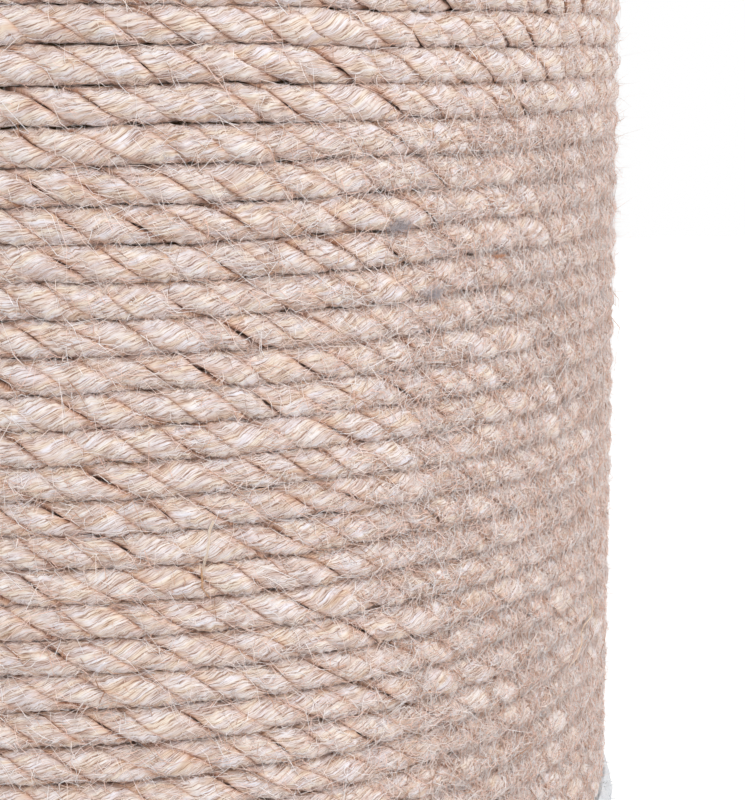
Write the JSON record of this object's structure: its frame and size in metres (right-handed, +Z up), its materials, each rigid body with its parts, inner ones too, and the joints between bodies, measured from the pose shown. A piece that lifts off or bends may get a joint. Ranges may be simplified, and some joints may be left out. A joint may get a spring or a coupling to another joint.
{
  "type": "cat scratching post",
  "caption": "Free-standing cat scratching column: thick tube wound tightly with jute rope, pale plush trim, padded plush top and a square plush-covered foot.",
  "frame": {"origin": "on the floor, under the middle of the post", "axes": "+Z up along the post, -Y the front that the picture shows, +X to its right"},
  "size_m": [0.408, 0.408, 0.5363],
  "materials": {
    "jute_rope": "three-strand jute rope, natural, hairy",
    "plush": "short pale grey-white plush pile",
    "lining": "thin black non-woven felt",
    "foam": "soft polyurethane foam",
    "board": "raw particle board",
    "tube": "spiral-wound grey-brown cardboard",
    "rubber": "matt black",
    "steel": "bright zinc plated",
    "staple_wire": "galvanised flat wire"
  },
  "bodies": {
    "root": {"base_board": "board", "base_cover": "plush", "base_lining": "lining", "base_feet": "rubber", "foot_screws": "steel", "base_staples": "staple_wire", "base_bolts": "steel", "base_washers": "steel", "tee_nuts": "steel", "lower_plug": "board", "lower_plug_nails": "steel", "post_tube": "tube", "lower_sleeve": "plush", "rope_lower_winding": "jute_rope", "rope_upper_winding": "jute_rope", "upper_sleeve": "plush", "upper_plug": "board", "upper_plug_nails": "steel", "top_board": "board", "top_screws": "steel", "top_foam": "foam", "top_cover": "plush", "top_staples": "staple_wire"}
  },
  "joints": []
}
